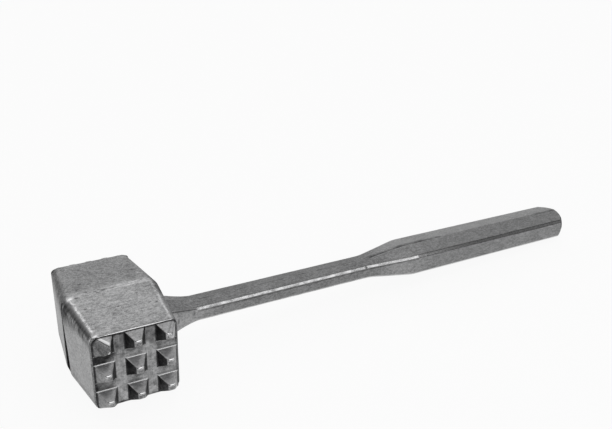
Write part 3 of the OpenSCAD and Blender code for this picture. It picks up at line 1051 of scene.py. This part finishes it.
# Grip
# The flattened end of the casting, wide enough for the palm. It tapers a little to its end, which
# is domed to a ball, and the rim of the dome is worn round.
GRIP_TAPER = 18.6 / 19.2
MALLET_END = 231.25
DOME_RADIUS = 12.2
DOME_RIM = 0.4

ball_x = MALLET_END - DOME_RADIUS
end_sizes = GRIP_SIZES * GRIP_TAPER
end_ring, end_outward, end_bends = handle_ring(0, end_sizes)
reach = np.linalg.norm(end_ring[:, 1:], axis=1)
inner_share = 1 - DOME_RIM / reach.min()


def dome_ring(share):
    """A ring on the ball, drawn in by that share of the grip's end."""
    ring = end_ring * (0, share, share)
    ring[:, 0] = ball_x + np.sqrt(DOME_RADIUS**2 - (share * reach) ** 2)
    return ring


rim = dome_ring(1)
grip_rings = []
for share in np.linspace(0, 1, 170):
    ring, outward, bends = handle_ring(0, GRIP_SIZES + (end_sizes - GRIP_SIZES) * share)
    ring[:, 0] = GRIP_START + (rim[:, 0] - DOME_RIM - GRIP_START) * share
    grip_rings.append((ring, outward, bends))
for ring in rounding(grip_rings[-1][0], rim, dome_ring(inner_share), 6):
    grip_rings.append((ring, end_outward, np.full(len(ring), 0.5)))
for share in np.linspace(inner_share, 0.02, 22):
    grip_rings.append((dome_ring(share), end_outward * 0, end_bends * 0))
palm = handle_piece("palm_grip", grip_rings)
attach(palm, "root")
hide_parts("grip")

# Floor
# A plain sweep of white paper. What the camera and the metal see of it is mostly its own white, and
# the rest is lit, so the mallet's shadow stays on it.
FLOOR_HALF = 12.0
FLOOR_LIT_SHARE = 0.08
floor_mesh = bpy.data.meshes.new("floor")
quarters = ((-1, -1), (1, -1), (1, 1), (-1, 1))
floor_corners = [(x * FLOOR_HALF, y * FLOOR_HALF, 0) for x, y in quarters]
floor_mesh.from_pydata(floor_corners, [], [(0, 1, 2, 3)])
floor = bpy.data.objects.new("floor", floor_mesh)
bpy.context.scene.collection.objects.link(floor)
paper = bpy.data.materials.new("white_paper")
paper.use_nodes = True
tree = paper.node_tree
tree.nodes.remove(tree.nodes["Principled BSDF"])
lit = node(tree, "ShaderNodeBsdfDiffuse", (-400, -100))
lit.inputs["Color"].default_value = (0.9, 0.9, 0.9, 1)
glow = node(tree, "ShaderNodeEmission", (-400, -250))
glow.inputs["Strength"].default_value = 1.0
rays = node(tree, "ShaderNodeLightPath", (-900, 200)).outputs
seen = math_node(tree, (-700, 200), "MAXIMUM", rays["Is Camera Ray"], rays["Is Glossy Ray"])
seen = math_node(tree, (-550, 200), "MAXIMUM", seen, rays["Is Transmission Ray"])
white_share = math_node(tree, (-400, 200), "MULTIPLY", seen, 1 - FLOOR_LIT_SHARE)
blend = node(tree, "ShaderNodeMixShader", (-150, 0))
tree.links.new(white_share, blend.inputs[0])
tree.links.new(lit.outputs[0], blend.inputs[1])
tree.links.new(glow.outputs[0], blend.inputs[2])
tree.links.new(blend.outputs[0], tree.nodes["Material Output"].inputs["Surface"])
floor_mesh.materials.append(paper)

# Light
# A pale room, brightest at the right and dim at the left, with softboxes round the mallet. The one
# in front is the strongest. Its picture runs along the polished corners of the shaft and ends where
# the grip begins, and two low ones beside it light the mallet for those who look from behind.
BRIGHT_SIDE = (0.55, 0.7, 0.45)
DIM_STRENGTH = 0.13
BRIGHT_STRENGTH = 0.7
world = bpy.data.worlds.new("room")
bpy.context.scene.world = world
world.use_nodes = True
tree = world.node_tree
heading = node(tree, "ShaderNodeTexCoord", (-800, 0))
toward = node(tree, "ShaderNodeVectorMath", (-600, 0), operation="DOT_PRODUCT")
toward.inputs[1].default_value = BRIGHT_SIDE
tree.links.new(heading.outputs["Generated"], toward.inputs[0])
level = node(tree, "ShaderNodeMapRange", (-400, 0))
level.inputs["From Min"].default_value = 0.15
level.inputs["From Max"].default_value = 0.85
level.inputs["To Min"].default_value = DIM_STRENGTH
level.inputs["To Max"].default_value = BRIGHT_STRENGTH
tree.links.new(toward.outputs["Value"], level.inputs["Value"])
tree.links.new(level.outputs["Result"], tree.nodes["Background"].inputs["Strength"])
tree.nodes["Background"].inputs["Color"].default_value = (1, 1, 1, 1)


def softbox(name, azimuth, elevation, distance, width, height, radiance):
    """A rectangular lamp that faces the mallet from that direction, with its face that bright."""
    azimuth, elevation = math.radians(azimuth), math.radians(elevation)
    level_distance = distance * math.cos(elevation)
    ahead, aside = level_distance * math.cos(azimuth), level_distance * math.sin(azimuth)
    place = Vector((ahead, aside, distance * math.sin(elevation)))
    lamp = bpy.data.lights.new(name, "AREA")
    lamp.shape = "RECTANGLE"
    lamp.size = width
    lamp.size_y = height
    lamp.energy = radiance * width * height * math.pi
    made = bpy.data.objects.new(name, lamp)
    facing = place.to_track_quat("Z", "Y").to_matrix().to_4x4()
    made.matrix_world = Matrix.Translation(place) @ facing
    bpy.context.scene.collection.objects.link(made)


softbox("behind", 75, 35, 2.0, 1.9, 1.1, 0.78)
softbox("overhead", -130, 79, 1.8, 1.3, 1.3, 0.8)
softbox("left", 178, 45, 2.0, 1.2, 1.0, 0.5)
softbox("front", -66.5, 32, 1.5, 1.06, 0.84, 1.5)
softbox("front_right", -22, 20, 2.0, 1.4, 0.9, 0.6)
softbox("front_left", -142, 24, 2.0, 1.4, 0.9, 0.6)

# Camera
# It looks down on the coarse face from the front left, as the lower view of the photograph does.
# Its place and directions are in the mallet's own millimetres.
FOCAL_PIXELS = 808.8
PICTURE_WIDTH = 612
SENSOR = 36.0
AXIS_BELOW_MIDDLE = 61.2
SEEN_FROM = Vector((-70.56, -259.46, 173.28))
FORWARD = Vector((0.4476, 0.7468, -0.4919))
RIGHTWARD = Vector((0.8692, -0.4926, 0.043))
camera_data = bpy.data.cameras.new("camera")
camera_data.sensor_width = SENSOR
camera_data.lens = FOCAL_PIXELS / PICTURE_WIDTH * SENSOR
camera_data.shift_y = AXIS_BELOW_MIDDLE / PICTURE_WIDTH
camera = bpy.data.objects.new("camera", camera_data)
forward, rightward = turn @ FORWARD, turn @ RIGHTWARD
rightward -= forward * rightward.dot(forward) / forward.length_squared
rightward.normalize()
forward.normalize()
facing = Matrix((rightward, rightward.cross(forward), -forward)).transposed()
camera.matrix_world = Matrix.Translation(lay @ SEEN_FROM) @ facing.to_4x4()
bpy.context.scene.collection.objects.link(camera)
bpy.context.scene.camera = camera
bpy.context.scene.view_settings.view_transform = "Standard"
